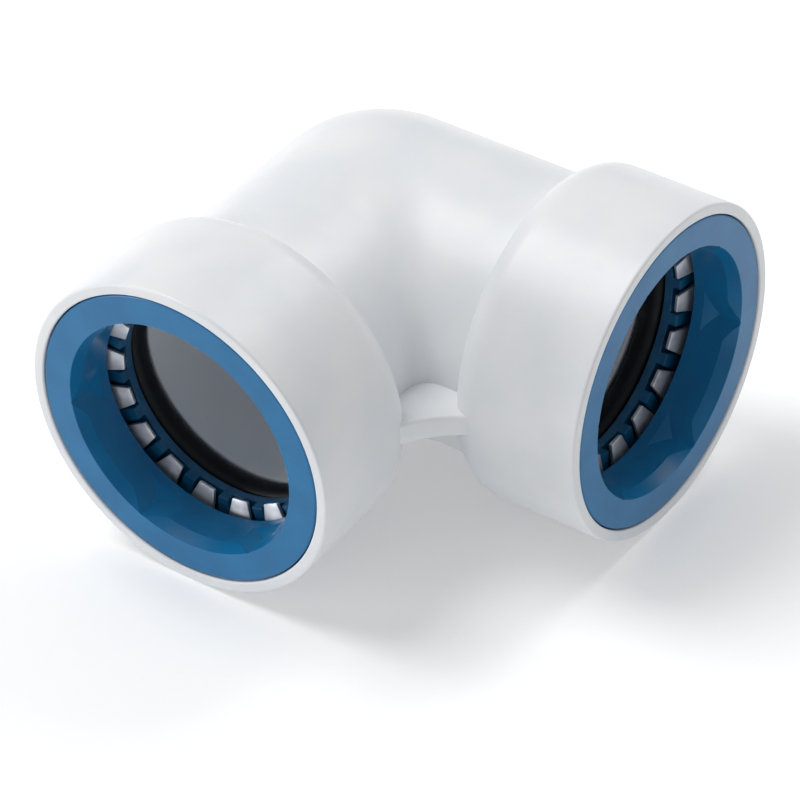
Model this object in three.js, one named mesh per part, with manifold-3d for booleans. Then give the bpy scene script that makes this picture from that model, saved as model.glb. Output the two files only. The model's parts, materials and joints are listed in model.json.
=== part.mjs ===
// A 90 degree push-fit elbow for plastic pressure pipe, in millimetres, +Z up.
//
// The white body has two equal sockets. Each one holds, from its mouth inwards, a release collar
// that slides, a retainer ring, a stainless grab ring with teeth, a slotted cage behind the teeth
// and an O-ring. The elbow lies flat: both socket axes are level, socket a opens towards -Y and
// socket b towards +X. The origin is on the surface it lies on, below the middle of its outline.
import * as THREE from 'three';
import { mergeVertices } from 'three/addons/utils/BufferGeometryUtils.js';
import Module from 'manifold-3d';

const wasm = await Module();
wasm.setup();

// ---- Driving dimensions ------------------------------------------------------------------------

const roundSegments = 36;        // flats round every turned piece
const backSteps = 4;             // flats along the rounded back of a bell
const webSteps = 6;              // flats along the web's hollow edge
const sealSides = 12;            // flats round the O-ring's section
const overcut = 1;               // how far a cutter runs past the face that it cuts

// Sizes across, outwards from the pipe
const pipeRadius = 13.335;       // outside of nominal 3/4 inch pressure pipe
const pipeClearance = 0.26;      // gap round the pipe in the body's socket and in the cage
const pipeStopHeight = 3.195;    // shoulder that stops the pipe, down to the waterway
const neckWall = 3.405;          // wall of the neck round the pipe
const toothBite = 0.26;          // how far the tooth tips stand inside the pipe's surface
const sealSqueeze = 0.28;        // how far the O-ring stands inside the pipe's surface
const sealSection = 3;           // thickness of the O-ring
const collarPlay = 1.115;        // gap round the pipe in the release collar
const collarFlare = 0.5;         // how much the collar's bore opens at its face
const notchCut = 0.6;            // how far the six tool notches cut into the collar's bore
const notchHalfAngle = 72.4;     // between a notch's middle plane and each of its walls, in degrees
const noseWall = 1.15;           // wall of the collar's nose, behind its flange
const lipWidth = 0.45;           // flat end that the nose tapers to
const nosePlay = 1;              // gap round the nose, in the retainer ring
const bendInset = 0.2;           // the fingers bend this far outside the retainer's bore
const fingerRootWidth = 0.4;     // flat ring between the bend and the slots' roots
const grabRimWidth = 1;          // solid rim of the grab ring
const wellStep = 0.3;            // step between the cage's well and the collar's well
const rimWall = 1.35;            // wall of the bell round the collar

// Sizes along, inwards from the mouth
const rimChamfer = 0.35;
const collarRecess = 0.15;       // the collar's face lies this far inside the mouth
const collarFlareLength = 1.6;
const collarFlangeLength = 3.45;
const noseTaperLength = 0.9;
const collarTravel = 1.1;
const travelMargin = 0.2;        // gap left between the flange and the retainer at full travel
const notchPastFlange = 1.2;     // the tool notches end this far past the flange
const notchEndDrop = 1.9;        // and this much shallower along their bottoms
const retainerLength = 1.35;
const lipClearance = 0.15;       // from the end of the nose to the plane of the grab ring
const stripThickness = 0.45;     // of the grab ring
const toothDrop = 1.1;           // how far the fingers slope inwards, from their bend to their tips
const tipFaceSlant = 0.18;       // the cut end of a tooth leans this much
const toothLift = 0.6;           // room behind the teeth for them to be pushed back
const cageBand = 1.05;           // solid band of the cage behind its slots
const backMargin = 0.45;         // from the O-ring's gland to the straight part of the bell's back
const bellBackLength = 3.5;      // length of the bell's rounded back
const pipeSeatLength = 11.35;    // plain bore from the O-ring's gland to the pipe stop
const cornerWall = 1.405;        // from the pipe stop to the other socket's bore

// Snap beads
const beadHeight = 0.35;
const beadWidth = 0.8;
const beadTopWidth = 0.4;
const collarBeadInset = 1.55;    // from the collar's face to the middle of its bead

// Notches, teeth and the slots behind them
const notchCount = 6;
const toothCount = 18;
const toothTipWidth = 2.1;
const toothRootWidth = 4.2;      // where the fingers join the rim
const slotTipPlay = 0.46;        // gap on each side of a tooth in the cage, at the bore
const slotRootPlay = 0.1;        // and at the outer end of the slot

// The small web between the two bells, inside the bend
const webThickness = 2.8;
const webInset = 2.2;            // how far out from the bells' sides its hollow edge is drawn
const webBite = 0.5;             // how far it reaches into the bells

// Running gaps between pieces
const slideClearance = 0.15;
const seatClearance = 0.1;
const grooveClearance = 0.12;

// How far each socket's collar and grab ring are turned about the socket's axis, in degrees
const sockets = [
  { letter: 'a', heading: 180, collarTurn: 5.3, toothTurn: -0.8 },
  { letter: 'b', heading: -90, collarTurn: 49.5, toothTurn: 11.2 },
];

// ---- Derived values ----------------------------------------------------------------------------

// Radii
const socketBoreRadius = pipeRadius + pipeClearance;
const waterwayRadius = socketBoreRadius - pipeStopHeight;
const neckRadius = socketBoreRadius + neckWall;
const toothTipRadius = pipeRadius - toothBite;
const collarBoreRadius = pipeRadius + collarPlay;
const collarMouthRadius = collarBoreRadius + collarFlare;
const notchRadius = collarBoreRadius + notchCut;
const collarNoseRadius = collarBoreRadius + noseWall;
const retainerBoreRadius = collarNoseRadius + nosePlay;
const fingerBendRadius = retainerBoreRadius + bendInset;
const fingerRootRadius = fingerBendRadius + fingerRootWidth;
const grabRadius = fingerRootRadius + grabRimWidth;
const cageWellRadius = grabRadius + slideClearance;
const cageRadius = cageWellRadius - slideClearance;
const collarWellRadius = cageWellRadius + wellStep;
const collarRadius = collarWellRadius - slideClearance;
const grooveRadius = collarRadius + beadHeight + grooveClearance;
const bellRadius = collarWellRadius + rimWall;
const sealInner = pipeRadius - sealSqueeze;
const sealMiddleRadius = sealInner + sealSection / 2;
const glandRadius = sealInner + sealSection + seatClearance;

// Depths, inwards from the mouth
const collarFlangeEnd = collarRecess + collarFlangeLength;
const collarBeadDepth = collarRecess + collarBeadInset;
const notchDepth = collarFlangeEnd + notchPastFlange;
const retainerDepth = collarFlangeEnd + collarTravel + travelMargin;
const retainerEnd = retainerDepth + retainerLength;
const retainerBeadDepth = (retainerDepth + retainerEnd) / 2;
const grabDepth = retainerEnd + seatClearance;
const collarLipDepth = grabDepth - lipClearance;
const toothTipDepth = grabDepth + toothDrop;
const cageRimDepth = grabDepth + stripThickness + seatClearance;
const cageDepth = collarLipDepth + collarTravel + seatClearance;
const cageSlotEnd = toothTipDepth + stripThickness + toothLift;
const cageEnd = cageSlotEnd + cageBand;
const cageSeat = cageEnd + seatClearance;
const sealMiddleDepth = cageSeat + sealSection / 2;
const glandEnd = sealMiddleDepth + sealSection / 2 + seatClearance;
const pipeStopDepth = glandEnd + pipeSeatLength;

// Reaches, outwards along a leg from where the two axes cross
const pipeStopReach = socketBoreRadius + cornerWall;
const mouthReach = pipeStopReach + pipeStopDepth;
const bellStraightReach = mouthReach - glandEnd - backMargin;
const bellBackReach = bellStraightReach - bellBackLength;

const WHITE = { color: 0xe8e9e8, roughness: 0.25, metalness: 0 };
const BLUE = { color: 0x2f7fae, roughness: 0.3, metalness: 0 };
const DARK_BLUE = { color: 0x0f5878, roughness: 0.35, metalness: 0 };
const STEEL = { color: 0xc9ccd2, roughness: 0.25, metalness: 1 };
const BLACK = { color: 0x15181b, roughness: 0.5, metalness: 0 };
const GREY = { color: 0x9aa0a6, roughness: 0.5, metalness: 0 };

// ---- Helpers -----------------------------------------------------------------------------------

const radians = THREE.MathUtils.degToRad;

// A closed three.js geometry as a solid that can be joined and cut.
function solid(geometry) {
  const bare = geometry.clone();
  bare.deleteAttribute('normal');
  bare.deleteAttribute('uv');
  const merged = mergeVertices(bare, 1e-4);
  return new wasm.Manifold(new wasm.Mesh({
    numProp: 3,
    vertProperties: new Float32Array(merged.attributes.position.array),
    triVerts: new Uint32Array(merged.index.array),
  }));
}

// A solid back as a three.js geometry.
function geometryOf(shape) {
  const mesh = shape.getMesh();
  const geometry = new THREE.BufferGeometry();
  geometry.setAttribute('position', new THREE.BufferAttribute(mesh.vertProperties, 3));
  geometry.setIndex(new THREE.BufferAttribute(mesh.triVerts, 1));
  geometry.computeVertexNormals();
  return geometry;
}

// A piece turned about +Y. The outline is a closed list of [radius, depth], and depth runs
// inwards from the socket's mouth.
function turned(outline) {
  const points = outline.map(([radius, depth]) => new THREE.Vector2(radius, mouthReach - depth));
  const closed = THREE.ShapeUtils.area(points) < 0 ? points.reverse() : points;
  return new THREE.LatheGeometry([...closed, closed[0]], roundSegments);
}

// A round bar from the crossing of the axes to a reach along +Y.
function bar(radius, reach) {
  const profile = [[0, 0], [radius, 0], [radius, reach], [0, reach]];
  const points = profile.map(([x, y]) => new THREE.Vector2(x, y));
  return new THREE.LatheGeometry(points, roundSegments);
}

// A flat outline of [radius, sideways] points, raised along the socket's axis between two depths
// and turned about that axis by an angle in degrees.
function prism(outline, start, end, angle) {
  const shape = new THREE.Shape(outline.map(([x, y]) => new THREE.Vector2(x, y)));
  const geometry = new THREE.ExtrudeGeometry(shape, { depth: end - start, bevelEnabled: false });
  geometry.rotateX(-Math.PI / 2);
  geometry.translate(0, mouthReach - end, 0);
  geometry.rotateY(radians(angle));
  return geometry;
}

// The same outline cut or added at every tooth pitch.
function atEachTooth(outline, start, end, phase) {
  const pitch = 360 / toothCount;
  return Array.from({ length: toothCount }, (_, i) => {
    return solid(prism(outline, start, end, phase + i * pitch));
  });
}

// ---- The body ----------------------------------------------------------------------------------

// Outside of one leg: a straight neck and a bell with a rounded back.
function legOutside() {
  const back = Array.from({ length: backSteps + 1 }, (_, i) => {
    const angle = (i / backSteps) * Math.PI / 2;
    const radius = neckRadius + (bellRadius - neckRadius) * Math.sin(angle);
    const reach = bellBackReach + bellBackLength * (1 - Math.cos(angle));
    return [radius, mouthReach - reach];
  });
  const bell = turned([
    [0, mouthReach - bellBackReach],
    ...back,
    [bellRadius, rimChamfer],
    [bellRadius - rimChamfer, 0],
    [0, 0],
  ]);
  return solid(bell).add(solid(bar(neckRadius, bellStraightReach)));
}

// Everything that is hollow in one leg, from the mouth to the crossing of the axes.
function legInside() {
  const beadHalf = beadWidth / 2 + grooveClearance;
  const profile = [
    [0, -overcut],
    [collarWellRadius, -overcut],
    [collarWellRadius, collarBeadDepth - beadHalf],
    [grooveRadius, collarBeadDepth - beadHalf],
    [grooveRadius, collarBeadDepth + collarTravel + beadHalf],
    [collarWellRadius, collarBeadDepth + collarTravel + beadHalf],
    [collarWellRadius, retainerBeadDepth - beadHalf],
    [grooveRadius, retainerBeadDepth - beadHalf],
    [grooveRadius, retainerBeadDepth + beadHalf],
    [collarWellRadius, retainerBeadDepth + beadHalf],
    [collarWellRadius, retainerEnd + seatClearance / 2],
    [cageWellRadius, retainerEnd + seatClearance / 2],
    [cageWellRadius, cageSeat],
    [glandRadius, cageSeat],
    [glandRadius, glandEnd],
    [socketBoreRadius, glandEnd],
    [socketBoreRadius, pipeStopDepth],
    [0, pipeStopDepth],
  ];
  return solid(turned(profile)).add(solid(bar(waterwayRadius, pipeStopReach + overcut)));
}

// The web between the bells: a flat plate whose free edge is hollowed by an arc.
function web() {
  const near = socketBoreRadius;
  const far = bellStraightReach;
  const tip = bellRadius - webBite;
  const shape = new THREE.Shape();
  shape.moveTo(near, -near);
  shape.lineTo(near, -far);
  shape.lineTo(tip, -far);
  shape.quadraticCurveTo(tip + webInset, -tip - webInset, far, -tip);
  shape.lineTo(far, -near);
  const options = { depth: webThickness, bevelEnabled: false, curveSegments: webSteps };
  const geometry = new THREE.ExtrudeGeometry(shape, options);
  geometry.translate(0, 0, -webThickness / 2);
  return solid(geometry);
}

function elbowBody() {
  let outside = solid(new THREE.SphereGeometry(neckRadius, roundSegments, roundSegments / 2));
  let inside = solid(new THREE.SphereGeometry(waterwayRadius, roundSegments, roundSegments / 2));
  for (const { heading } of sockets) {
    outside = outside.add(legOutside().rotate([0, 0, heading]));
    inside = inside.add(legInside().rotate([0, 0, heading]));
  }
  return geometryOf(outside.add(web()).subtract(inside));
}

// ---- The pieces of one socket ------------------------------------------------------------------

// The outline of a snap bead: a low ridge with sloping sides.
function beadOutline(radius, depth) {
  return [
    [radius, depth - beadWidth / 2],
    [radius + beadHeight, depth - beadTopWidth / 2],
    [radius + beadHeight, depth + beadTopWidth / 2],
    [radius, depth + beadWidth / 2],
  ];
}

// The tool notches: six shallow V grooves along the bore. A cone ends them, so that each one is
// shallower along its bottom than at its sides.
function toolNotches() {
  const half = radians(notchHalfAngle);
  const foot = notchRadius * Math.sin(half);
  const groove = [
    [notchRadius, 0],
    [foot * Math.sin(half), foot * Math.cos(half)],
    [foot * Math.sin(half), -foot * Math.cos(half)],
  ];
  const slope = notchEndDrop / notchCut;
  const coneTop = notchDepth + collarBoreRadius * slope;
  const coneReach = notchRadius + overcut;
  const end = solid(turned([
    [0, -overcut],
    [coneReach, -overcut],
    [coneReach, coneTop - coneReach * slope],
    [0, coneTop],
  ]));
  return Array.from({ length: notchCount }, (_, i) => {
    return solid(prism(groove, -overcut, notchDepth, i * 360 / notchCount)).intersect(end);
  });
}

function releaseCollar() {
  const ring = turned([
    [collarMouthRadius, collarRecess],
    [collarRadius, collarRecess],
    ...beadOutline(collarRadius, collarBeadDepth),
    [collarRadius, collarFlangeEnd],
    [collarNoseRadius, collarFlangeEnd],
    [collarNoseRadius, collarLipDepth - noseTaperLength],
    [collarBoreRadius + lipWidth, collarLipDepth],
    [collarBoreRadius, collarLipDepth],
    [collarBoreRadius, collarRecess + collarFlareLength],
  ]);
  return geometryOf(toolNotches().reduce((collar, cut) => collar.subtract(cut), solid(ring)));
}

function retainerRing() {
  return turned([
    [retainerBoreRadius, retainerDepth],
    [collarRadius, retainerDepth],
    ...beadOutline(collarRadius, retainerBeadDepth),
    [collarRadius, retainerEnd],
    [retainerBoreRadius, retainerEnd],
  ]);
}

// A tooth narrows evenly from its root to its tip.
function toothWidth(radius) {
  const taper = (toothRootWidth - toothTipWidth) / (fingerRootRadius - toothTipRadius);
  return toothTipWidth + (radius - toothTipRadius) * taper;
}

// A point on the side of the gap between two teeth, measured from the gap's own middle line.
function gapSide(radius) {
  const halfPitch = Math.PI / toothCount;
  const half = toothWidth(radius) / 2;
  const along = radius * Math.cos(halfPitch) + half * Math.sin(halfPitch);
  const aside = radius * Math.sin(halfPitch) - half * Math.cos(halfPitch);
  return [along, aside];
}

function grabRing() {
  const disc = turned([
    [toothTipRadius, toothTipDepth],
    [fingerBendRadius, grabDepth],
    [grabRadius, grabDepth],
    [grabRadius, grabDepth + stripThickness],
    [fingerBendRadius, grabDepth + stripThickness],
    [toothTipRadius + tipFaceSlant, toothTipDepth + stripThickness],
  ]);
  const [near, nearHalf] = gapSide(toothTipRadius - overcut);
  const [far, farHalf] = gapSide(fingerRootRadius);
  const gap = [[near, -nearHalf], [far, -farHalf], [far, farHalf], [near, nearHalf]];
  const start = grabDepth - overcut;
  const end = toothTipDepth + stripThickness + overcut;
  const gaps = atEachTooth(gap, start, end, 180 / toothCount);
  return geometryOf(gaps.reduce((ring, cut) => ring.subtract(cut), solid(disc)));
}

// The cage: a raised rim under the grab ring, and slots that take the teeth and open into its bore.
function toothCage() {
  const ring = solid(turned([
    [socketBoreRadius, cageDepth],
    [fingerRootRadius, cageDepth],
    [fingerRootRadius, cageRimDepth],
    [cageRadius, cageRimDepth],
    [cageRadius, cageEnd],
    [socketBoreRadius, cageEnd],
  ]));
  const nearHalf = toothWidth(socketBoreRadius) / 2 + slotTipPlay;
  const farHalf = toothWidth(fingerBendRadius) / 2 + slotRootPlay;
  const near = socketBoreRadius - overcut;
  const slot = [
    [near, -nearHalf],
    [socketBoreRadius, -nearHalf],
    [fingerBendRadius, -farHalf],
    [fingerBendRadius, farHalf],
    [socketBoreRadius, nearHalf],
    [near, nearHalf],
  ];
  const slots = atEachTooth(slot, cageDepth - overcut, cageSlotEnd, 0);
  return geometryOf(slots.reduce((cage, cut) => cage.subtract(cut), ring));
}

function oRing() {
  const half = sealSection / 2;
  return turned(Array.from({ length: sealSides }, (_, i) => {
    const angle = (i / sealSides) * 2 * Math.PI;
    return [sealMiddleRadius + half * Math.cos(angle), sealMiddleDepth + half * Math.sin(angle)];
  }));
}

// ---- The assembly ------------------------------------------------------------------------------

function piece(name, geometry, look, turn = 0) {
  const mesh = new THREE.Mesh(geometry, new THREE.MeshStandardMaterial(look));
  mesh.name = name;
  mesh.rotation.y = radians(turn);
  return mesh;
}

const elbow = new THREE.Group();
elbow.add(piece('elbow_body', elbowBody(), WHITE));

for (const { letter, heading, collarTurn, toothTurn } of sockets) {
  const socket = new THREE.Group();
  socket.rotation.z = radians(heading);
  socket.add(piece(`release_collar_${letter}`, releaseCollar(), BLUE, collarTurn));
  socket.add(piece(`retainer_ring_${letter}`, retainerRing(), GREY));
  socket.add(piece(`grab_ring_${letter}`, grabRing(), STEEL, toothTurn));
  socket.add(piece(`tooth_cage_${letter}`, toothCage(), DARK_BLUE, toothTurn));
  socket.add(piece(`o_ring_${letter}`, oRing(), BLACK));
  elbow.add(socket);
}

// The axes cross at the group's own centre: shift it so that the outline's middle is at x = y = 0
// and the bells rest on z = 0.
elbow.position.set(-(mouthReach - bellRadius) / 2, (mouthReach - bellRadius) / 2, bellRadius);

export default elbow;
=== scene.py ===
# %% [markdown]
# # A push-fit pipe elbow
# The real object is a white moulded elbow whose two sockets each hold a blue release collar, a
# stainless grab ring, a slotted cage and an O-ring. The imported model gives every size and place.
# Each CAD node is faceted, so a smooth surface worked out with numpy stands in for it here.

import json

import bpy
import numpy as np
from mathutils import Matrix, Vector

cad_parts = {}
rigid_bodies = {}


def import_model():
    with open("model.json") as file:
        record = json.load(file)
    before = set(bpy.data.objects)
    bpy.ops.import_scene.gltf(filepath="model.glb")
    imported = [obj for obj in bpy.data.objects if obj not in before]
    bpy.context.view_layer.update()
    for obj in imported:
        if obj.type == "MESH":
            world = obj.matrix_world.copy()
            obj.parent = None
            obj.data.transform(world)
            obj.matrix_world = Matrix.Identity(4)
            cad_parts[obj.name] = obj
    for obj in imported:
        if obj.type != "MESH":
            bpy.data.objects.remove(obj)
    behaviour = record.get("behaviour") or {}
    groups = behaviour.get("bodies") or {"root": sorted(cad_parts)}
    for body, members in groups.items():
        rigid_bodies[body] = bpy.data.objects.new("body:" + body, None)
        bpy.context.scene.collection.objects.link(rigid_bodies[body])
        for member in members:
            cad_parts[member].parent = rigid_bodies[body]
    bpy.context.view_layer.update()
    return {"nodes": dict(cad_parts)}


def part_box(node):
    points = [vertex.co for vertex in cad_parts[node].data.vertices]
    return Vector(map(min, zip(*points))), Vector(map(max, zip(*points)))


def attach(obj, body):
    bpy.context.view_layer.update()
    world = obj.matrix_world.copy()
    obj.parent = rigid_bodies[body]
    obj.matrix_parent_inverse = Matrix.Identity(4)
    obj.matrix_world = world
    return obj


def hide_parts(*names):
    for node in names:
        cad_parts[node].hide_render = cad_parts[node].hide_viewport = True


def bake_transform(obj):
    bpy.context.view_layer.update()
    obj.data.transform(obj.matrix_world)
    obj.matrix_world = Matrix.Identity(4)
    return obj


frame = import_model()
print("CAD nodes:", len(frame["nodes"]))

# %% [markdown]
# ## Where the sockets are
# Both socket axes are level and cross at one point. The bell is as high as the whole body, so half
# of the body's height is the bell's radius, and that places the crossing. All outlines below are
# written in millimetres, as a drawing of the part would be, and turned to metres at the end.

# %% Sockets and the crossing of their axes
MM = 0.001
low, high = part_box("elbow_body")
BELL = (high.z - low.z) / 2 / MM
CROSSING = np.array([low.x / MM + BELL, high.y / MM - BELL, low.z / MM + BELL])
REACH = CROSSING[1] - low.y / MM

SOCKETS = {
    "a": {"out": (0, -1, 0), "right": (1, 0, 0), "collar_turn": 5.3, "tooth_turn": -0.8},
    "b": {"out": (1, 0, 0), "right": (0, 1, 0), "collar_turn": 49.5, "tooth_turn": 11.2},
}


def place(socket, radius, angle, depth):
    """A point at a radius and an angle (in degrees, seen from outside the socket, from its
    right-hand side towards the top) and at a depth inwards from the socket's mouth."""
    radius, angle, depth = np.broadcast_arrays(radius, np.radians(angle), depth)
    out, right = np.array(SOCKETS[socket]["out"]), np.array(SOCKETS[socket]["right"])
    across = radius * np.cos(angle)
    upward = radius * np.sin(angle)
    along = REACH - depth
    up = np.array([0, 0, 1])
    return CROSSING + along[..., None] * out + across[..., None] * right + upward[..., None] * up


print("bell radius", round(BELL, 3), "mm, reach", round(REACH, 3), "mm")

# %% [markdown]
# ## From numbers to a mesh
# A surface could be built by adding vertices one at a time, but a grid is quicker and never leaves
# a gap: its rows and columns of points are worked out as whole arrays, and the faces are the same
# pattern of four neighbours everywhere. A ring-shaped piece closes on itself both ways, like a
# tyre. A rod-shaped one closes one way and gets a flat face, a cap, at each end.

# %% Grids of points
def tyre(points):
    """Points, faces and no caps for a grid that closes on itself along both directions."""
    rows, columns = points.shape[:2]
    here = np.arange(rows * columns).reshape(rows, columns)
    below, right = np.roll(here, -1, 0), np.roll(here, -1, 1)
    corner = np.roll(below, -1, 1)
    quads = np.stack([here, right, corner, below], -1).reshape(-1, 4)
    return points.reshape(-1, 3), quads, []


def rod(points):
    """Points, faces and two caps for a grid that closes on itself along its columns only."""
    rows, columns = points.shape[:2]
    verts, quads, _ = tyre(points)
    rim = np.arange(columns)
    return verts, quads[: (rows - 1) * columns], [rim[::-1], rim + (rows - 1) * columns]


def signed_volume(verts, quads, caps):
    """Six times the volume that faces enclose: the sum of a fan of tetrahedra over each face."""
    fans = [np.stack([0 * cap[2:] + cap[0], cap[1:-1], cap[2:]], 1) for cap in caps]
    triangles = np.vstack([quads[:, [0, 1, 2]], quads[:, [0, 2, 3]], *fans])
    a, b, c = (verts[triangles[:, i]] for i in range(3))
    return float((np.cross(a, b) * c).sum())


def build(name, shells, crease=35):
    """One object from closed shells in millimetres, each turned so that its faces point out."""
    verts, faces, count = [], [], 0
    for points, quads, caps in shells:
        way = -1 if signed_volume(points, quads, caps) < 0 else 1
        verts.append(points * MM)
        faces += (quads[:, ::way] + count).tolist()
        faces += [(cap[::way] + count).tolist() for cap in caps]
        count += len(points)
    mesh = bpy.data.meshes.new(name)
    mesh.from_pydata(np.vstack(verts).tolist(), [], faces)
    mesh.shade_smooth()
    mesh.set_sharp_from_angle(angle=np.radians(crease))
    mesh.validate()
    piece = bpy.data.objects.new(name, mesh)
    bpy.context.scene.collection.objects.link(piece)
    return piece


# %% [markdown]
# Moulded edges are never knife sharp. An edge could be rounded with a Bevel modifier, but that
# follows every facet of a turned piece, so the outline itself is rounded before it is turned.

# %% Outlines with rounded corners
LARGEST_SHARE = 0.42   # of a side that one rounded corner may use up
HOLD = 1.12            # how far out the point that holds a side flat is, in corner sizes


def rounded(corners, radius, steps=4, closed=True):
    """An outline whose corners are replaced by short parabolas that leave each side at the given
    distance from the corner. A point just outside each one holds the flat sides flat."""
    corners = np.array(corners, float)
    radius = np.broadcast_to(np.array(radius, float), len(corners))
    before, after = np.roll(corners, 1, 0) - corners, np.roll(corners, -1, 0) - corners
    before_length = np.linalg.norm(before, axis=1)
    after_length = np.linalg.norm(after, axis=1)
    reach = np.minimum(radius, LARGEST_SHARE * np.minimum(before_length, after_length))
    hold = HOLD * reach
    t = np.linspace(0, 1, steps + 1)[None, :, None]
    into = before / before_length[:, None]
    onward = after / after_length[:, None]
    start = corners + into * reach[:, None]
    end = corners + onward * reach[:, None]
    curve = (1 - t) ** 2 * start[:, None] + 2 * t * (1 - t) * corners[:, None] + t**2 * end[:, None]
    holds = [(corners + into * hold[:, None])[:, None], (corners + onward * hold[:, None])[:, None]]
    outline = np.concatenate([holds[0], curve, holds[1]], 1)
    if closed:
        return outline.reshape(-1, 2)
    middle = outline[1:-1].reshape(-1, 2)
    return np.vstack([corners[:1], middle, corners[-1:]])


def turned(socket, outline, around=180, turn=0.0):
    """A closed outline of (radius, depth) swung round a socket's axis."""
    outline = np.asarray(outline)
    angle = turn + np.arange(around) * 360 / around
    return tyre(place(socket, outline[:, :1], angle[None, :], outline[:, 1:]))


# %% [markdown]
# ## The body
# The elbow is one hollow moulding, so its outside, its two mouths and its waterway are one closed
# skin. Rings are carried along one leg, round the bend and along the other leg, over the rim and
# back through the inside. On the bend each ring point is found on a ray: the two legs are capsules
# whose distances are joined by a smooth minimum, which leaves a soft valley on the inner side
# and a plain ball on the outer one.

# %% Sizes of the body
NECK = 17.0                 # outside radius of a leg behind its bell
BELL_BACK = 22.4            # the rounded back of the bell leaves the neck at this reach
BELL_BACK_LENGTH = 3.5
WATERWAY = 10.4
BORE = 13.595               # the bore that the pipe's end slides in
STOP_DEPTH = REACH - 15.0   # the pipe stops here
WELL, GROOVE = 18.65, 18.97  # the well of the collar and retainer, and the grooves of their beads
CAGE_WELL, CAGE_WELL_END = 18.35, 9.65
GLAND, GLAND_END = 16.155, 12.75
BODY_AROUND = 192
HALVINGS = 48               # of each ray, so its end is found to far less than a micrometre
COLLAR_GROOVE, RETAINER_GROOVE = (1.18, 3.42), (5.06, 6.1)   # where each groove starts and ends
CAGE_WELL_START = 6.3


def step_up(value):
    """Smooth step: 0 below 0, 1 above 1, three squares less two cubes in between."""
    value = np.clip(value, 0, 1)
    return value * value * (3 - 2 * value)


def inside_legs(x, y, z, radius, fillet):
    """Distance outside the nearer of two capsules of one radius, one lying along -Y and one
    along +X from the crossing, less a fillet where both are near on the inner side of the bend."""
    leg_a = np.sqrt(x**2 + z**2 + np.maximum(y, 0) ** 2) - radius
    leg_b = np.sqrt(y**2 + z**2 + np.minimum(x, 0) ** 2) - radius
    inner_side = step_up((x - y) / np.sqrt(2) / radius)
    width = np.maximum(fillet * inner_side, 1e-6)
    overlap = np.maximum(width - np.abs(leg_a - leg_b), 0) / width
    return np.minimum(leg_a, leg_b) - overlap**2 * width / 4


def bend_rings(radius, pivot, straight, fillet, rings, legs):
    """Rings along leg a, round the bend and along leg b. Each ring lies in an upright plane: square
    to the leg while it is straight, then swung about an upright line outside the inner corner.
    Each point is found by halving a ray from the ring's centre again and again."""
    swing = np.linspace(0, np.pi / 2, rings)
    reach = np.linspace(straight, pivot, legs, endpoint=False)
    centre_x = np.concatenate([0 * reach, pivot * (1 - np.cos(swing)), reach[::-1]])
    centre_y = np.concatenate([-reach, -pivot * (1 - np.sin(swing)), 0 * reach])
    heading = np.concatenate([0 * reach, swing, 0 * reach + np.pi / 2])
    angle = np.radians(np.arange(BODY_AROUND) * 360 / BODY_AROUND)[None, :]
    x_way = np.cos(heading)[:, None] * np.cos(angle)
    y_way = -np.sin(heading)[:, None] * np.cos(angle)
    z_way = np.sin(angle) + 0 * x_way
    near, far = np.zeros_like(x_way), np.full_like(x_way, 3.0 * radius)
    for _ in range(HALVINGS):
        middle = (near + far) / 2
        x = centre_x[:, None] + middle * x_way
        y = centre_y[:, None] + middle * y_way
        within = inside_legs(x, y, middle * z_way, radius, fillet) < 0
        near, far = np.where(within, middle, near), np.where(within, far, middle)
    x = centre_x[:, None] + near * x_way
    y = centre_y[:, None] + near * y_way
    return CROSSING + np.stack([x, y, near * z_way], -1)


def leg_rings(radius, reach, leg):
    """Plain rings of given radii at given reaches, in step with the rings of the bend."""
    angle = np.radians(np.arange(BODY_AROUND) * 360 / BODY_AROUND)[None, :]
    sideways = radius[:, None] * np.cos(angle)
    upward = radius[:, None] * np.sin(angle)
    along = reach[:, None] + 0 * sideways
    if leg == "a":
        return CROSSING + np.stack([sideways, -along, upward], -1)
    return CROSSING + np.stack([along, -sideways, upward], -1)


# %% The skin of the body
def groove(start, end):
    """Corners of a groove in the wall of a socket's well."""
    return [(WELL, start), (GROOVE, start), (GROOVE, end), (WELL, end)]


def bell_profile():
    """(radius, reach) from the root of the bell's back, over the rim, in through every step of the
    socket to the pipe stop. The back is a quarter of an ellipse."""
    t = np.linspace(0, np.pi / 2, 18)[1:]
    back = np.stack([
        NECK + (BELL - NECK) * np.sin(t),
        BELL_BACK + BELL_BACK_LENGTH * (1 - np.cos(t)),
    ], 1)
    inside = [
        (BELL, 1.0), (BELL, 0.0), (WELL, 0.0), *groove(*COLLAR_GROOVE), *groove(*RETAINER_GROOVE),
        (WELL, CAGE_WELL_START), (CAGE_WELL, CAGE_WELL_START),
        (CAGE_WELL, CAGE_WELL_END), (GLAND, CAGE_WELL_END), (GLAND, GLAND_END),
        (BORE, GLAND_END), (BORE, STOP_DEPTH), (WATERWAY, STOP_DEPTH), (WATERWAY, STOP_DEPTH + 0.9),
    ]
    edges = [0, 0.34, 0.24] + [0.06] * (len(inside) - 7) + [0.3, 0.4, 0.5, 0]
    steps = rounded(inside, edges, closed=False)
    steps = np.stack([steps[:, 0], REACH - steps[:, 1]], 1)
    return np.vstack([back, steps])


profile = bell_profile()
outside = bend_rings(NECK, pivot=19.0, straight=BELL_BACK, fillet=3.2, rings=64, legs=8)
waterway = bend_rings(WATERWAY, pivot=13.0, straight=14.0, fillet=1.2, rings=40, legs=2)
skin = np.concatenate([
    outside,
    leg_rings(profile[:, 0], profile[:, 1], "b"),
    waterway[::-1],
    leg_rings(profile[::-1, 0], profile[::-1, 1], "a"),
])
body = build("moulded_body", [tyre(skin)], crease=40)
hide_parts("elbow_body")
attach(body, "fitting")
print("body", len(body.data.vertices), "points")

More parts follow.
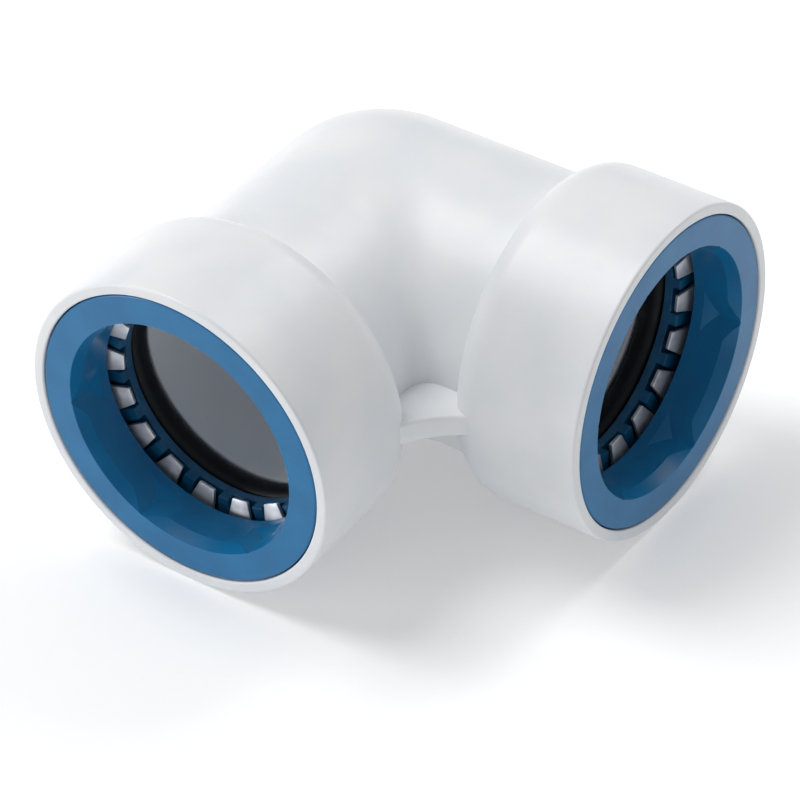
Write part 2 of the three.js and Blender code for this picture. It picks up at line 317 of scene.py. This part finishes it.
# %% [markdown]
# ## The web
# A small plate ties the two bells together inside the bend, at mid height. Its free edge is a
# shallow hollow and its rim is a little rounded, so it is a rod of rounded cross-sections carried
# along the hollow edge from one bell to the other. Both its ends and its root lie inside the body.

# %% The tie web
WEB_THICKNESS, WEB_INSET, WEB_BITE, WEB_NOSE = 2.8, 2.2, 0.5, 0.4
WEB_ROOT = (24.5, -15.0), (13.0, -13.0), (15.0, -24.5)   # start, pull and end, inside the necks


def bow(start, pull, end, steps=33):
    """Points along a parabola from start to end whose end tangents meet at pull."""
    t = np.linspace(0, 1, steps)[:, None]
    return (1 - t) ** 2 * np.array(start) + 2 * t * (1 - t) * np.array(pull) + t**2 * np.array(end)


def web_shell():
    """Sections across the web, swept from bell b to bell a. Each section is a rounded oblong that
    runs from deep inside the corner to the hollow free edge, and both those lines are parabolas."""
    far = BELL_BACK + BELL_BACK_LENGTH
    tip = BELL - WEB_BITE
    pull = tip + WEB_INSET
    free = bow((far, -tip), (pull, -pull), (tip, -far))
    root = bow(*WEB_ROOT)
    half = WEB_THICKNESS / 2
    corner = np.linspace(-np.pi / 2, np.pi / 2, 14)
    across = np.concatenate([[0.0], 1 + 0 * corner, [0.0]])
    lean = np.concatenate([[0.0], WEB_NOSE * (np.cos(corner) - 1), [0.0]])
    nose = (half - WEB_NOSE) * np.sign(corner) + WEB_NOSE * np.sin(corner)
    height = np.concatenate([[-half], nose, [half]])
    way = free - root
    unit = way / np.linalg.norm(way, axis=1, keepdims=True)
    plan = root[:, None] + way[:, None] * across[None, :, None]
    plan = plan + unit[:, None] * lean[None, :, None]
    upward = np.broadcast_to(height[None, :, None], plan.shape[:2] + (1,))
    return rod(CROSSING + np.concatenate([plan, upward], -1))


web = build("tie_web", [web_shell()], crease=50)
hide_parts("elbow_body")
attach(web, "fitting")

# %% [markdown]
# ## The release collar
# The blue collar is pushed in to let the pipe go. Its bore opens slightly at its face, and six
# shallow V notches for a release tool are cut along it, each with a steep end. A boolean cut would
# leave long thin triangles, so the bore is a grid whose rows follow the notches' own edges: each
# column of points knows at what depth the flare, the notch's wall and its end begin.

# %% The bore of a collar
COLLAR_BORE, COLLAR_MOUTH, COLLAR = 14.45, 14.95, 18.5
COLLAR_FACE, FLARE_LENGTH, FLANGE_END, LIP = 0.15, 1.6, 3.6, 6.2
NOSE, LIP_WIDTH, NOSE_TAPER = 15.6, 0.45, 0.9
NOTCH, NOTCH_DEPTH, NOTCH_DROP, NOTCHES = 15.05, 4.8, 1.9, 6
NOTCH_WALL = np.radians(72.4)   # between a notch's middle plane and its walls
NOTCH_PITCH = 360 / NOTCHES
LIP_EDGE = 0.08                 # what the lip's corner loses each way


def collar_angles():
    """Angles round the collar, close together where the notches cut the bore."""
    edge, close, wide = 12.8, 0.32, 1.15
    one = np.concatenate([np.arange(-edge, edge, close), np.arange(edge, NOTCH_PITCH - edge, wide)])
    return (one[None, :] + NOTCH_PITCH * np.arange(NOTCHES)[:, None]).reshape(-1)


def notch_radius(angle):
    """Radius of a notch's wall: a straight line from its bottom, by the sine rule."""
    offset = np.radians(np.abs((angle + NOTCH_PITCH / 2) % NOTCH_PITCH - NOTCH_PITCH / 2))
    wall = NOTCH * np.sin(NOTCH_WALL) / np.sin(NOTCH_WALL + offset)
    return np.where(offset < np.pi / 2 - NOTCH_WALL, wall, 0)


def bore_of_collar(angle):
    """(radius, depth) of the bore from its lip to the face, one column for each angle."""
    wall = np.maximum(notch_radius(angle), COLLAR_BORE)
    slope = NOTCH_DROP / (NOTCH - COLLAR_BORE)
    cut_end = NOTCH_DEPTH - (wall - COLLAR_BORE) * slope
    cut_end = np.minimum(cut_end, NOTCH_DEPTH - 0.04)
    flare_slope = FLARE_LENGTH / (COLLAR_MOUTH - COLLAR_BORE)
    flare_end = COLLAR_FACE + np.maximum((COLLAR_MOUTH - wall) * flare_slope, 0.03)
    face = np.maximum(wall, COLLAR_MOUTH)
    t = np.linspace(0, 1, 7)[:, None]
    below = LIP - LIP_EDGE + t * (NOTCH_DEPTH - LIP + LIP_EDGE)
    facet = NOTCH_DEPTH + t * (cut_end - NOTCH_DEPTH)
    flat = cut_end + t * (flare_end - cut_end)
    flare = flare_end + t * (COLLAR_FACE + 0.02 - flare_end)
    depth = np.concatenate([np.broadcast_to(below, facet.shape), facet, flat, flare])
    radius = np.concatenate([
        COLLAR_BORE + 0 * facet,
        COLLAR_BORE + t * (wall - COLLAR_BORE),
        wall + 0 * flat,
        wall + t * (face - wall),
    ])
    return radius, depth


# %% The two collars
BEAD_HEIGHT, BEAD_HALF, BEAD_TOP_HALF = 0.35, 0.4, 0.2
COLLAR_BEAD, RETAINER_BEAD = 1.7, 5.575   # depths of the middles of the snap beads


def bead(depth):
    """Corners of a snap bead on the outside of a collar or retainer: a low ridge, sloping sides."""
    crest = COLLAR + BEAD_HEIGHT
    return [(COLLAR, depth - BEAD_HALF), (crest, depth - BEAD_TOP_HALF),
            (crest, depth + BEAD_TOP_HALF), (COLLAR, depth + BEAD_HALF)]


def collar_shell(socket):
    """The bore's grid, closed by the face, the flange with its snap bead, and the tapered nose."""
    angle = collar_angles()
    radius, depth = bore_of_collar(angle)
    outer = rounded([
        (COLLAR_MOUTH + 0.4, COLLAR_FACE), (COLLAR, COLLAR_FACE), *bead(COLLAR_BEAD),
        (COLLAR, FLANGE_END), (NOSE, FLANGE_END), (NOSE, LIP - NOSE_TAPER),
        (COLLAR_BORE + LIP_WIDTH, LIP), (COLLAR_BORE + LIP_EDGE, LIP),
    ], [0, 0.28, 0.1, 0.1, 0.1, 0.1, 0.2, 0.2, 0.2, 0.12, 0], closed=False)
    face = np.stack([radius[-1] + 0.07, COLLAR_FACE + 0 * angle], -1)[None]
    rest = np.broadcast_to(outer[:, None], (len(outer), len(angle), 2))
    grid = np.concatenate([np.stack([radius, depth], -1), face, rest])
    turn = SOCKETS[socket]["collar_turn"]
    return tyre(place(socket, grid[..., 0], turn + angle[None, :], grid[..., 1]))


collars = []
for letter in SOCKETS:
    collar = build(f"blue_collar_{letter}", [collar_shell(letter)], crease=14)
    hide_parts(f"release_collar_{letter}")
    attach(collar, f"collar_{letter}")
    collars.append(collar)
print("collars", [len(c.data.vertices) for c in collars])

# %% [markdown]
# ## Behind the collar
# The retainer, the O-ring and the solid part of the cage are plain turned rings.

# %% Retainers and O-rings
RETAINER_BORE, RETAINER_FRONT, RETAINER_END = 16.6, 4.9, 6.25
SEAL_MIDDLE, SEAL_DEPTH, SEAL_HALF = 14.555, 11.15, 1.5


def retainer_outline():
    """A ring with a snap bead round the middle of its outside."""
    return rounded([
        (RETAINER_BORE, RETAINER_FRONT), (COLLAR, RETAINER_FRONT), *bead(RETAINER_BEAD),
        (COLLAR, RETAINER_END), (RETAINER_BORE, RETAINER_END),
    ], 0.15)


def seal_outline():
    """The O-ring's section, a circle."""
    t = np.arange(40) / 40 * 2 * np.pi
    return np.stack([SEAL_MIDDLE + SEAL_HALF * np.cos(t), SEAL_DEPTH + SEAL_HALF * np.sin(t)], 1)


for letter in SOCKETS:
    retainer = build(f"retainer_{letter}", [turned(letter, retainer_outline())])
    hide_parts(f"retainer_ring_{letter}")
    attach(retainer, "fitting")
    seal = build(f"seal_{letter}", [turned(letter, seal_outline(), around=240)])
    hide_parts(f"o_ring_{letter}")
    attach(seal, "fitting")

# %% [markdown]
# ## The cage
# The cage stands behind the teeth: a solid band with eighteen bars on it, and a slot between each
# pair of bars that a tooth can be pushed back into. Each bar is a short rod whose sections are
# four-sided and shrink a little at the end, for a moulded edge.

# %% Cage bands and bars
TEETH = 18
BEND, ROOT, TIP = 16.8, 17.2, 13.075
TIP_WIDTH, ROOT_WIDTH = 2.1, 4.2
CAGE_FRONT, CAGE_FLOOR, CAGE_END = 7.4, 8.5, 9.55
CAGE, CAGE_BAR, CAGE_RIM = 18.2, 17.3, 6.9
TIP_PLAY, ROOT_PLAY = 0.46, 0.1   # between a tooth and its slot, at the bore and at the bend


def tooth_width(radius):
    """Width of a tooth, which narrows evenly from its root to its tip."""
    return TIP_WIDTH + (radius - TIP) * (ROOT_WIDTH - TIP_WIDTH) / (ROOT - TIP)


def bar_shell(socket, middle):
    """A bar between two slots: its outline across the axis has a round corner at every edge, and
    it shrinks over the last stations so that its front edge is round too."""
    pitch = 2 * np.pi / TEETH
    inner_half = (pitch * BORE - tooth_width(BORE)) / 2 - TIP_PLAY
    outer_half = (pitch * CAGE_BAR - tooth_width(BEND)) / 2 - ROOT_PLAY
    corners = [(BORE, -inner_half), (CAGE_BAR, -outer_half),
               (CAGE_BAR, outer_half), (BORE, inner_half)]
    outline = rounded(corners, 0.16, steps=3)
    centre = outline.mean(0)
    depth = np.array([CAGE_FLOOR + 0.1, CAGE_FRONT + 0.12, CAGE_FRONT + 0.03, CAGE_FRONT])
    shrink = np.array([0, 0, 0.035, 0.12])[:, None, None]
    flat = outline[None] - shrink * (outline - centre) / np.abs(outline - centre).max() * 1.6
    angle = np.degrees(np.arctan2(flat[..., 1], flat[..., 0]))
    radius = np.hypot(flat[..., 0], flat[..., 1])
    return rod(place(socket, radius, middle + angle, depth[:, None]))


def band_outline():
    """The solid band of the cage and the raised rim that the grab ring rests on."""
    return rounded([
        (BORE, CAGE_FLOOR), (ROOT, CAGE_FLOOR), (ROOT, CAGE_RIM), (CAGE, CAGE_RIM),
        (CAGE, CAGE_END), (BORE, CAGE_END),
    ], 0.14)


for letter, socket in SOCKETS.items():
    bars = [bar_shell(letter, socket["tooth_turn"] + (i + 0.5) * 360 / TEETH) for i in range(TEETH)]
    cage = build(f"slotted_cage_{letter}", [turned(letter, band_outline())] + bars)
    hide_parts(f"tooth_cage_{letter}")
    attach(cage, "fitting")

# %% [markdown]
# ## The grab ring
# The ring is stamped from thin spring steel. Its flat rim is held still, and each finger of the
# real ring bends when the collar pushes on it. Here every finger is its own piece, but none is
# tied to the body or the collar. It is a thin plate: sections across a finger are rounded
# oblongs, carried from its root to its cut tip.

# %% Rims and fingers
SHEET, STAMPED_EDGE, RIM_PLAY = 0.45, 0.09, 0.005
GRAB_DEPTH, DROP, TIP_SLANT = 6.35, 1.1, 0.18
STILL, PUSHED = 18.4, 10.5   # radii where a finger would not move and where it would move fully


def finger_shell(socket, middle):
    """A finger's plate from just outside the bend to its tip. Its depth grows evenly inwards from
    the bend. A section is an oblong with a small arc at each corner, and t is the angle along
    those four arcs. The last sections shrink, which rounds the stamped tip."""
    along = np.array([-0.05, 0.1, 0.3, 0.5, 0.7, 0.85, 0.96, 0.985, 0.998, 1.0])
    shrink = np.array([0, 0, 0, 0, 0, 0, 0, 0.03, 0.08, 0.12])[:, None]
    radius = BEND + (TIP - BEND) * along
    half = tooth_width(radius)[:, None] / 2 - shrink * 0.6
    quarter, sweep = 90 * np.arange(4)[:, None] + 45, np.linspace(-40, 40, 4)[None, :]
    t = np.radians(quarter + sweep).reshape(-1)
    curl = STAMPED_EDGE
    side = np.sign(np.cos(t)) * (half - curl) + curl * np.cos(t)
    rise = (np.sign(np.sin(t)) * (SHEET / 2 - curl) + curl * np.sin(t)) * (1 - shrink * 1.5)
    centre = GRAB_DEPTH + SHEET / 2 + DROP * along[:, None]
    depth = centre + rise
    lean = TIP_SLANT * (rise + SHEET / 2) / SHEET * along[:, None]
    inward = radius[:, None] + lean
    angle = np.degrees(np.arctan2(side, inward))
    return rod(place(socket, np.hypot(side, inward), middle + angle, depth))


def rim_outline():
    """The flat rim that the fingers grow from."""
    return rounded([
        (BEND - 0.1, GRAB_DEPTH + RIM_PLAY), (CAGE, GRAB_DEPTH + RIM_PLAY),
        (CAGE, GRAB_DEPTH + SHEET - RIM_PLAY), (BEND - 0.1, GRAB_DEPTH + SHEET - RIM_PLAY),
    ], 0.08)


steel_pieces = []
for letter, socket in SOCKETS.items():
    rim = build(f"grab_rim_{letter}", [turned(letter, rim_outline())])
    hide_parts(f"grab_ring_{letter}")
    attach(rim, "fitting")
    steel_pieces.append(rim)
    for i in range(TEETH):
        middle = socket["tooth_turn"] + i * 360 / TEETH
        finger = build(f"finger_{letter}_{i + 1:02d}", [finger_shell(letter, middle)])
        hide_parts(f"grab_ring_{letter}")
        start = place(letter, STILL, middle, GRAB_DEPTH) * MM
        end = place(letter, PUSHED, middle, GRAB_DEPTH) * MM
        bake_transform(finger)
        steel_pieces.append(finger)
print("steel pieces", len(steel_pieces))

# %% [markdown]
# ## Shader maths
# Patterns are easier to read as sums than as boxes and wires. A small class wraps a socket, so that
# `1 - mask` or `grain * 0.2` adds the Math node by itself.

# %% Sockets that can be added and multiplied
class Field:
    """A shader socket that Python arithmetic works on: each operator adds one Math node."""

    def __init__(self, finish, socket):
        self.finish, self.socket = finish, socket

    def __add__(self, other):
        return self.finish.math("ADD", self, other)

    def __sub__(self, other):
        return self.finish.math("SUBTRACT", self, other)

    def __rsub__(self, other):
        return self.finish.math("SUBTRACT", other, self)

    def __mul__(self, other):
        return self.finish.math("MULTIPLY", self, other)

    __radd__ = __add__
    __rmul__ = __mul__


def label(word):
    """A shader socket's own label, from a Python name."""
    return word.replace("_", " ").title().replace("Ior", "IOR")


class Finish:
    """A material with one main shader, whose constants are set on the shader's own sockets."""

    def __init__(self, name, **constants):
        self.material = bpy.data.materials.new(name)
        self.material.use_nodes = True
        self.tree = self.material.node_tree
        self.shader = self.tree.nodes["Principled BSDF"]
        for socket, value in constants.items():
            self.shader.inputs[label(socket)].default_value = value
        self.place = self.node("ShaderNodeTexCoord", out="Object")

    def node(self, kind, settings=None, inputs=None, out=0):
        """Adds any node: its settings first, then its sockets' values or links."""
        made = self.tree.nodes.new(kind)
        for name, value in (settings or {}).items():
            setattr(made, name, value)
        for name, value in (inputs or {}).items():
            if isinstance(value, Field):
                self.tree.links.new(value.socket, made.inputs[name])
            else:
                made.inputs[name].default_value = value
        return Field(self, made.outputs[out])

    def math(self, operation, first, second):
        return self.node("ShaderNodeMath", {"operation": operation}, {0: first, 1: second})

    def noise(self, size, stretch=(1, 1, 1), detail=3.0, offset=(0, 0, 0)):
        """Cloudy noise whose features are about `size` millimetres across."""
        where = self.node("ShaderNodeMapping", None, {
            "Vector": self.place, "Scale": stretch, "Location": offset})
        return self.node("ShaderNodeTexNoise", None, {
            "Vector": where, "Scale": 1 / (size * MM), "Detail": detail})

    def between(self, value, start, end, low=0.0, high=1.0):
        """The value's span from start to end spread over low to high, and held beyond it."""
        return self.node("ShaderNodeMapRange", None, {
            0: value, 1: start, 2: end, 3: low, 4: high})

    def mix(self, amount, first, second):
        """Two colours mixed."""
        colours = {0: amount, 6: first, 7: second}
        return self.node("ShaderNodeMix", {"data_type": "RGBA"}, colours, 2)

    def bump(self, height, strength, distance):
        return self.node("ShaderNodeBump", None, {
            "Height": height, "Strength": strength, "Distance": distance * MM})

    def feed(self, **links):
        for socket, field in links.items():
            self.tree.links.new(field.socket, self.shader.inputs[label(socket)])
        return self.material


def colour(red, green, blue):
    """A display colour, 0 to 255, as the linear light that a shader wants."""
    value = np.array([red, green, blue]) / 255
    linear = np.where(value <= 0.04045, value / 12.92, ((value + 0.055) / 1.055) ** 2.4)
    return (*linear.tolist(), 1.0)


# %% [markdown]
# ## White moulded PVC
# The body is glossy and almost even in colour. What makes it read as moulded plastic is a faint
# unevenness in its gloss, a very shallow ripple, and a trace of flow lines.

# %% Body finish
def white_pvc():
    finish = Finish("white_pvc_moulded", roughness=0.4, coat_weight=0.05, coat_roughness=0.12)
    clouds = finish.noise(9.0)
    grain = finish.noise(0.35, detail=2.0)
    scuffs = finish.noise(2.2, stretch=(1, 1, 5), detail=6.0)
    cloudy = finish.between(clouds, 0.35, 0.7)
    tint = finish.mix(cloudy, colour(229, 231, 233), colour(222, 225, 229))
    marks = finish.between(scuffs, 0.62, 0.75)
    rough = 0.35 + clouds * 0.06 + marks * 0.12
    height = grain * 0.5 + clouds
    return finish.feed(base_color=tint, roughness=rough, normal=finish.bump(height, 0.06, 0.12))


# %% Collar finish
def collar_blue():
    finish = Finish("collar_blue_moulded", roughness=0.3, specular_ior_level=0.38)
    clouds = finish.noise(5.0)
    grain = finish.noise(0.22, detail=4.0)
    tint = finish.mix(finish.between(clouds, 0.3, 0.7), colour(14, 112, 164), colour(8, 101, 152))
    specks = finish.between(grain, 0.66, 0.78)
    tint = finish.mix(specks * 0.25, tint, colour(64, 138, 176))
    rough = 0.25 + grain * 0.1 + clouds * 0.06
    return finish.feed(base_color=tint, roughness=rough, normal=finish.bump(grain, 0.12, 0.06))


# %% Cage finish
def cage_blue():
    finish = Finish("cage_blue_moulded", roughness=0.32)
    clouds = finish.noise(2.5)
    grain = finish.noise(0.25, detail=3.0)
    tint = finish.mix(finish.between(clouds, 0.3, 0.7), colour(16, 92, 132), colour(10, 74, 112))
    rough = 0.26 + grain * 0.16
    return finish.feed(base_color=tint, roughness=rough, normal=finish.bump(grain, 0.12, 0.05))


# %% Stamped steel finish
def stainless():
    finish = Finish("stainless_spring_strip", metallic=0.9, roughness=0.45)
    brushed = finish.noise(0.5, stretch=(1, 1, 9), detail=5.0)
    stains = finish.noise(1.1)
    stained = finish.between(stains, 0.35, 0.7)
    tint = finish.mix(stained, colour(226, 228, 232), colour(198, 202, 210))
    rough = 0.38 + brushed * 0.2
    return finish.feed(base_color=tint, roughness=rough, normal=finish.bump(brushed, 0.2, 0.03))


# %% Rubber and retainer finishes
def seal_rubber():
    finish = Finish("lubricated_rubber", roughness=0.5, specular_ior_level=0.25)
    film = finish.noise(1.8)
    pores = finish.noise(0.12, detail=2.0)
    tint = finish.mix(finish.between(film, 0.4, 0.65), colour(5, 11, 16), colour(9, 16, 22))
    rough = 0.38 + film * 0.25
    return finish.feed(base_color=tint, roughness=rough, normal=finish.bump(pores, 0.2, 0.04))


def retainer_grey():
    finish = Finish("retainer_grey_moulded", roughness=0.5)
    grain = finish.noise(0.3)
    tint = finish.mix(finish.between(grain, 0.3, 0.7), colour(150, 155, 160), colour(136, 142, 148))
    return finish.feed(base_color=tint, normal=finish.bump(grain, 0.15, 0.05))


# %% Put the finishes on
def dress(pieces, material):
    for piece in pieces:
        piece.data.materials.clear()
        piece.data.materials.append(material)


def named(*starts):
    """Every new piece whose name starts with one of the words."""
    return [piece for piece in bpy.data.objects if piece.name.startswith(starts)]


dress([body, web], white_pvc())
dress(collars, collar_blue())
dress(named("slotted_cage"), cage_blue())
dress(steel_pieces, stainless())
dress(named("seal_"), seal_rubber())
dress(named("retainer_a", "retainer_b"), retainer_grey())

# %% [markdown]
# ## Floor, light and camera
# A pale floor that runs out of sight and three soft lights show the form without hard shadows:
# a large one above, a weaker one above and behind, and a small low one on socket a's side that
# brightens what the other two leave dark. A little light of the floor's own keeps its shadow pale.

# %% Floor
def floor_finish():
    white = (1, 1, 1, 1)
    finish = Finish("pale_floor", roughness=0.9, emission_strength=0.17, emission_color=white)
    clouds = finish.noise(60.0)
    tint = finish.mix(clouds, colour(252, 252, 252), colour(248, 249, 250))
    return finish.feed(base_color=tint)


def floor_sheet():
    """A round flat sheet: rings of points at growing radii, in metres, and a flat middle."""
    around = 96
    ring = np.concatenate([np.linspace(0.02, 1.5, 12), [2.0, 3.0, 5.0]])[:, None]
    angle = np.linspace(0, 2 * np.pi, around, endpoint=False)[None, :]
    points = np.stack([ring * np.cos(angle), ring * np.sin(angle), 0 * ring * angle], -1)
    here = np.arange(len(ring) * around).reshape(-1, around)
    right = np.roll(here, -1, 1)
    quads = np.stack([here[:-1], here[1:], right[1:], right[:-1]], -1).reshape(-1, 4)
    mesh = bpy.data.meshes.new("floor")
    mesh.from_pydata(points.reshape(-1, 3).tolist(), [], quads.tolist() + [here[0].tolist()])
    sheet = bpy.data.objects.new("floor", mesh)
    bpy.context.scene.collection.objects.link(sheet)
    return sheet


floor = floor_sheet()
dress([floor], floor_finish())

# %% Lights
def soft_light(name, spot, size, watts):
    """An area light aimed at the middle of the object."""
    lamp = bpy.data.lights.new(name, "AREA")
    lamp.shape = "DISK"
    lamp.size = size
    lamp.energy = watts
    holder = bpy.data.objects.new(name, lamp)
    bpy.context.scene.collection.objects.link(holder)
    holder.location = spot
    aim = Vector((0, 0, BELL * MM)) - Vector(spot)
    holder.rotation_euler = aim.to_track_quat("-Z", "Y").to_euler()


world = bpy.data.worlds.new("pale_room")
world.use_nodes = True
world.node_tree.nodes["Background"].inputs["Color"].default_value = (1, 1, 1, 1)
world.node_tree.nodes["Background"].inputs["Strength"].default_value = 0.4
bpy.context.scene.world = world
soft_light("overhead", (-0.3, -0.07, 0.57), 0.4, 2.15)
soft_light("far_corner", (0.06, 0.42, 0.49), 0.3, 0.9)
soft_light("low_front", (-0.43, -0.43, 0.06), 0.16, 0.9)

# %% Camera
def camera_at(azimuth, elevation, roll, aside, upward, distance, lens):
    """A camera that looks at the crossing of the axes from an azimuth and an elevation in degrees,
    then slides sideways and upwards in its own plane, in millimetres."""
    turn, lift, tilt = np.radians([azimuth, elevation, roll])
    back = np.array([np.sin(turn) * np.cos(lift), -np.cos(turn) * np.cos(lift), np.sin(lift)])
    level = np.array([np.cos(turn), np.sin(turn), 0])
    up = np.cross(back, level)
    right = level * np.cos(tilt) + up * np.sin(tilt)
    over = up * np.cos(tilt) - level * np.sin(tilt)
    spot = (CROSSING - right * aside - over * upward + back * distance) * MM
    view = bpy.data.cameras.new("camera")
    view.lens, view.sensor_width = lens, 36.0
    view.clip_start, view.clip_end = 0.01, 20.0
    holder = bpy.data.objects.new("camera", view)
    bpy.context.scene.collection.objects.link(holder)
    turned_to = Matrix([right, over, back]).transposed().to_4x4()
    holder.matrix_world = Matrix.Translation(Vector(spot)) @ turned_to
    return holder


bpy.context.scene.camera = camera_at(36.27, 39.42, -2.17, -1.944, 16.381, 505.0, 198.25)
bpy.context.scene.view_settings.view_transform = "Standard"
